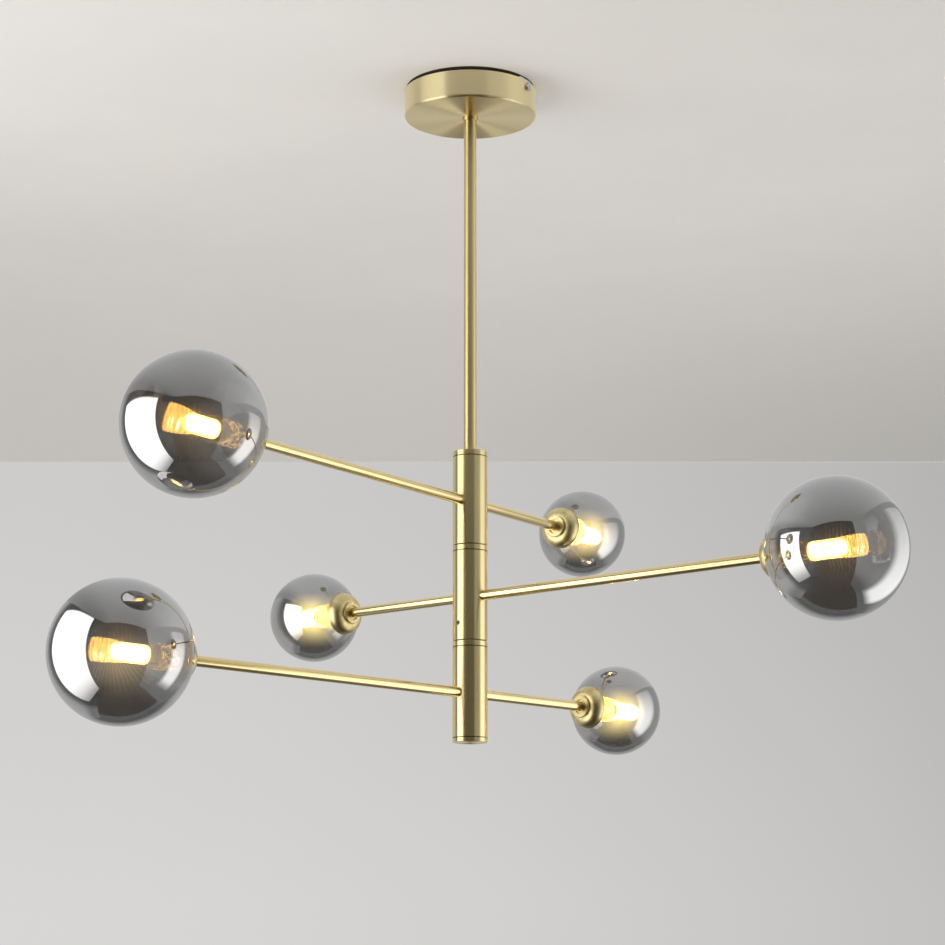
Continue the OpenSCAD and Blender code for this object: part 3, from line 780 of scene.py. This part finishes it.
        # Painted shadow: a dark ring over the canopy's rim, where the gap under the ceiling lies in shade
        tone = paint.mix((x * SHADE_NARROW).hypot(y).step(*SHADE_RING), (0.02, 0.022, 0.027), tone)
        back = paint.node("ShaderNodeNewGeometry", output="Backfacing")
        wide, rise = 5, 0.001
        made = self.card("ceiling", ((-wide, BACK, rise), (wide, BACK, rise),
                                     (wide, -wide, rise), (-wide, -wide, rise)),
                         end(Base_Color=tone, Alpha=1.0 - back))
        made.visible_glossy = False
        made.visible_shadow = False

    def wall(self):
        """Pale wall behind, brighter at its lower left, that only the eye sees from the front."""
        wide, deep = 6.0, 3.2
        material = bpy.data.materials.new("wall")
        material.use_nodes = True
        paint = Paint(material.node_tree)
        u, v, _ = paint.axes(paint.node("ShaderNodeTexCoord", output="UV"))
        across = ((u - 0.5) * (wide / SIGHT_WIDE) + 0.5).clamped()
        down = (((1.0 - v) * deep - SIGHT_TOP) / SIGHT_DEEP).clamped()
        mottle = paint.noise(paint.place(), 2.2, 4.0, 0.6) * 0.02 - 0.01
        brightest = (0.70, 0.693, 0.680)
        # Painted light: the wall is brighter towards its lower left, where more light falls on it
        level = (0.61 - 0.02 * across - 0.12 * across * across + 0.07 * down + mottle) / brightest[0]
        shade = paint.mix(level, BLACK, brightest)
        back = paint.node("ShaderNodeNewGeometry", output="Backfacing")
        lit = paint.node("ShaderNodeEmission", {}, {"Color": shade, "Strength": 1.0})
        clear = paint.node("ShaderNodeBsdfTransparent")
        paint.surface(paint.node("ShaderNodeMixShader", {}, [back, clear, lit]))
        made = self.card("wall", ((-wide / 2, BACK, 0.0), (wide / 2, BACK, 0.0),
                                  (wide / 2, BACK, -deep), (-wide / 2, BACK, -deep)), material)
        made.visible_glossy = False
        made.visible_diffuse = False
        made.visible_transmission = False
        made.visible_shadow = False

    def card(self, name, corners, material):
        mesh = bmesh.new()
        face = mesh.faces.new([mesh.verts.new(c) for c in corners])
        layer = mesh.loops.layers.uv.new("UVMap")
        if len(corners) == 4:
            for loop, uv in zip(face.loops, ((0, 1), (1, 1), (1, 0), (0, 0))):
                loop[layer].uv = uv
        else:
            wide, deep = ([c[i] for c in corners] for i in (0, 1))
            for loop in face.loops:
                loop[layer].uv = ((loop.vert.co.x - min(wide)) / (max(wide) - min(wide)),
                                  (loop.vert.co.y - min(deep)) / (max(deep) - min(deep)))
        data = bpy.data.meshes.new(name)
        mesh.to_mesh(data)
        mesh.free()
        data.materials.append(material)
        made = bpy.data.objects.new(name, data)
        bpy.context.scene.collection.objects.link(made)
        return made

    def reflected(self, name, corners, strength, pattern, soft=False, ground=0.0):
        """A glowing card that the camera doesn't see, its strength patterned over u and v."""
        material = bpy.data.materials.new(name)
        material.use_nodes = True
        paint = Paint(material.node_tree)
        u, v, _ = paint.axes(paint.node("ShaderNodeTexCoord", output="UV"))
        level = pattern(u, v)
        shade = paint.mix(level.clamped(), (ground, ground, ground), (0.975, 0.985, 1.0))
        paint.surface(paint.node("ShaderNodeEmission", {}, {"Color": shade, "Strength": strength}))
        made = self.card(name, corners, material)
        made.visible_camera = False
        made.visible_transmission = False
        made.visible_shadow = False
        made.visible_diffuse = soft
        return made


class LIGHT_OT_brass(bpy.types.Operator):
    """Gives the canopy, rod, column, arms and cups their brass"""
    bl_idname = "ceiling_light.brass"
    bl_label = "Brass"

    def execute(self, context):
        colours = context.scene.light_colours
        satin, bright = list(colours.satin), list(colours.bright)
        # Paler, bluer copy of the satin brass for the canopy: painted light, for the brighter light on its
        # side
        pale = [1.06 * satin[0], 1.06 * satin[1], 1.15 * satin[2]]
        dress(["canopy"], turned_brass("canopy_brass", pale, rough=0.34, grain=CANOPY_GRAIN))
        seams = [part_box(f"{tier}_sleeve")[1].z for tier in TIERS] + [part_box("lower_sleeve")[0].z]
        column = turned_brass("column_brass", satin, rough=0.31, grain=LATHE_GRAIN, seams=seams)
        rod = turned_brass("rod_brass", bright, rough=0.37, grain=LATHE_GRAIN)
        dress(["downrod", "rod_collar"], rod)
        for tier in TIERS:
            centre, _ = globe_place(f"{tier}_long_globe")
            turn = math.atan2(centre.y, centre.x)
            arm = drawn_brass(f"{tier}_arm_brass", bright, rough=0.14, turn=turn)
            dress([f"{tier}_cap", f"{tier}_sleeve"], column)
            dress([f"{tier}_hub", f"{tier}_long_arm", f"{tier}_short_arm"], arm)
            cups = spun_brass(f"{tier}_cup_brass", [c * 0.88 for c in satin], rough=0.34,
                              turn=turn, height=centre.z)
            dress([f"{tier}_cups"], cups)
            # The sleeves get faint painted glints of the lamp's light
            sleeves = satin_brass(f"{tier}_sleeve_brass", bright, rough=0.18, glow=0.6)
            dress([f"{tier}_shade_sleeves"], sleeves)
        dress(["lower_foot_cap", "upper_plug", "middle_plug"], column)
        return {"FINISHED"}


class LIGHT_OT_fittings(bpy.types.Operator):
    """Gives the bracket, nuts, screws, spindles, washers and blocks their finishes"""
    bl_idname = "ceiling_light.fittings"
    bl_label = "Fittings"

    def execute(self, context):
        steel = plain_metal("steel", list(context.scene.light_colours.steel), 0.2)
        dress(["ceiling_bracket", "side_screws", "earth_screw", "rod_nut", "rod_end_nut",
               "middle_spindle", "lower_spindle", "middle_spindle_nut", "lower_spindle_nut"], steel)
        dress([f"{tier}_set_screw" for tier in TIERS], plain_metal("dark_steel", (0.12, 0.115, 0.11), 0.35))
        dress(["middle_thrust_washer", "lower_thrust_washer"], matt("nylon", (0.03, 0.027, 0.022), 0.6))
        dress(["terminal_block"], matt("terminal_block", (0.85, 0.84, 0.80), 0.45))
        dress([f"{tier}_lampholders" for tier in TIERS], matt("ceramic", (0.85, 0.83, 0.78), 0.4))
        dress([f"{tier}_bulb_bases" for tier in TIERS], matt("lamp_base", (0.88, 0.86, 0.80), 0.4))
        return {"FINISHED"}


class LIGHT_OT_globes(bpy.types.Operator):
    """Blows the six globes: a mirror coat outside, clear glass inside, a collar in the mouth"""
    bl_idname = "ceiling_light.globes"
    bl_label = "Globes"

    def execute(self, context):
        sizes = context.scene.light_sizes
        colours = context.scene.light_colours
        smoke = list(colours.smoke)
        clear = clear_inside("clear_inside")
        for tier in TIERS:
            for end in ENDS:
                matrix, radius = lamp_frame(tier, end)
                passed = colours.see_through * (SMALL_CLEARER if end == "short" else 1.0)
                coat = mirror_coat(f"{tier}_{end}_coat", smoke, passed, matrix.translation, radius,
                                   PAINTED_LAMP_GLOW[tier][end], end == "short", sizes.rib_pitch)
                node = f"{tier}_{end}_globe"
                made = piece(f"{tier}_{end}_glass", self.shell(sizes, radius, matrix), [coat, clear])
                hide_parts(node)
                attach(made, f"{tier}_tier")
        return {"FINISHED"}

    @staticmethod
    def shell(sizes, radius, matrix):
        inner = radius - sizes.glass_wall
        foot = collar_foot(sizes, radius)
        outer_start = math.degrees(math.asin(sizes.mouth_radius / radius))
        inner_end = math.degrees(math.asin(sizes.collar_radius / inner))
        outside = revolve(arc(radius, outer_start, 180, ARC_STEPS), ROUND_STEPS, 0)
        inside = revolve(arc(inner, 180, inner_end, ARC_STEPS)
                         + [(sizes.collar_radius, foot), (sizes.mouth_radius, foot),
                            arc(radius, outer_start, 180, 1)[0]], ROUND_STEPS, 1)
        return joined([(outside, matrix), (inside, matrix)])


class LIGHT_OT_lamps(bpy.types.Operator):
    """Lights the lamps: a golden capsule round a white core"""
    bl_idname = "ceiling_light.lamps"
    bl_label = "Lamps"

    def execute(self, context):
        sizes = context.scene.light_sizes
        colours = context.scene.light_colours
        capsule = lamp_capsule("lamp_capsule", list(colours.glow), colours.glow_strength)
        core = light_strip("light_strip", list(colours.core), colours.core_strength)
        dress([f"{tier}_bulbs" for tier in TIERS], capsule)
        ribs = lamp_capsule("lamp_ribs", [1.0, 0.62, 0.13], colours.glow_strength, 1.0)
        straight = sizes.capsule_length - sizes.capsule_radius
        rings = rib_rule().grown(Count=int(straight / sizes.rib_pitch), Pitch=sizes.rib_pitch,
                                 Radius=sizes.capsule_radius, Rib=sizes.rib, Material=ribs)
        for tier in TIERS:
            parts, prisms = [], []
            middle, _ = globe_place(f"{tier}_long_globe")
            behind = strip_back(f"{tier}_strip_back", middle.z, sizes.capsule_radius,
                                sizes.rib_pitch, colours.glow_strength)
            for end in ENDS:
                matrix, radius = lamp_frame(tier, end)
                start = lamp_start(sizes, radius) - sizes.base_length
                stick = self.core(sizes, start)
                view = matrix.inverted() @ Vector(context.scene.light_studio.eye)
                self.light_front(stick, view.x, view.y)
                parts.append((stick, matrix))
                prisms.append((rings, matrix @ Matrix.Translation((0, 0, start - sizes.rib_pitch / 2))))
            for name, mesh, finishes in (("light_cores", parts, [core, behind]),
                                         ("lamp_ribs", prisms, [ribs])):
                made = piece(f"{tier}_{name}", joined(mesh), finishes)
                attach(made, f"{tier}_tier")
        return {"FINISHED"}

    @staticmethod
    def light_front(stick, x, y):
        """The chips sit on one side of the strip; its back only glows."""
        bmesh.ops.recalc_face_normals(stick, faces=stick.faces)
        limit = -STRIP_REACH * math.hypot(x, y)
        for face in stick.faces:
            lit = face.normal.x * x + face.normal.y * y > limit
            face.material_index = 0 if lit else 1

    @staticmethod
    def core(sizes, start):
        """Round-ended stick of lit chips inside the capsule, clear of its wall."""
        r = sizes.capsule_radius - sizes.capsule_wall - STRIP_AIR
        foot = start - STRIP_GAP
        tip = start - sizes.capsule_length + sizes.capsule_radius
        end = [(0, foot), (r * 0.8, foot), (r, foot - STRIP_BEVEL)]
        return revolve(end + arc(r, 90, 180, 8, tip), 32)


class LIGHT_OT_threads(bpy.types.Operator):
    """Winds the thread on the sleeves that carry the globes and knurls the ring on the rod"""
    bl_idname = "ceiling_light.threads"
    bl_label = "Threads and knurl"

    def execute(self, context):
        sizes = context.scene.light_sizes
        bright = list(context.scene.light_colours.bright)
        # The thread gets strong painted glints of the lamp's light
        gold = satin_brass("thread_brass", bright, rough=0.2, glow=2.4)
        knurled = satin_brass("knurl_brass", bright, rough=0.2)
        rule = thread_rule()
        for tier in TIERS:
            parts = []
            for end in ENDS:
                matrix, radius = lamp_frame(tier, end)
                start = lamp_start(sizes, radius) + sizes.thread_wire
                length = collar_foot(sizes, radius) - 2 * sizes.thread_wire - start
                wound = rule.grown(Radius=sizes.sleeve_radius, Turns=length / sizes.thread_pitch,
                                   Length=length, Wire=sizes.thread_wire, Material=gold)
                parts.append((wound, matrix @ Matrix.Translation((0, 0, start))))
            made = piece(f"{tier}_threads", joined(parts), [gold], 80.0)
            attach(made, f"{tier}_tier")
        low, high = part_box("rod_collar")
        tall = high.z - low.z
        ridges = knurl_rule().grown(Count=RIDGES, Radius=high.x - sizes.knurl_ridge,
                                    Ridge=sizes.knurl_ridge, Height=tall * RIDGE_SHARE,
                                    Material=knurled)
        middle = Matrix.Translation((0, 0, high.z - tall * RIDGE_MIDDLE))
        made = piece("collar_knurl", joined([(ridges, middle)]), [knurled])
        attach(made, "ceiling_mount")
        return {"FINISHED"}


class LIGHT_PT_panel(bpy.types.Panel):
    """Sizes, colours and steps of the ceiling light"""
    bl_idname = "LIGHT_PT_panel"
    bl_label = "Ceiling Light"
    bl_space_type = "VIEW_3D"
    bl_region_type = "UI"
    bl_category = "Ceiling Light"

    def draw(self, context):
        for step in STEPS:
            self.layout.operator(step.bl_idname)
        for group in (context.scene.light_sizes, context.scene.light_colours,
                      context.scene.light_studio):
            box = self.layout.box()
            for name in group.__annotations__:
                box.prop(group, name)


STEPS = (LIGHT_OT_stage, LIGHT_OT_brass, LIGHT_OT_fittings, LIGHT_OT_globes, LIGHT_OT_lamps,
         LIGHT_OT_threads)
GROUPS = {"light_sizes": LightSizes, "light_colours": LightColours, "light_studio": StudioSettings}


def register():
    for item in (*GROUPS.values(), *STEPS, LIGHT_PT_panel):
        bpy.utils.register_class(item)
    for name, group in GROUPS.items():
        setattr(bpy.types.Scene, name, PointerProperty(type=group))


def unregister():
    for name in GROUPS:
        delattr(bpy.types.Scene, name)
    for item in reversed((*GROUPS.values(), *STEPS, LIGHT_PT_panel)):
        bpy.utils.unregister_class(item)


def main():
    register()
    for step in STEPS:
        group, name = step.bl_idname.split(".")
        getattr(getattr(bpy.ops, group), name)()


if __name__ == "__main__":
    main()
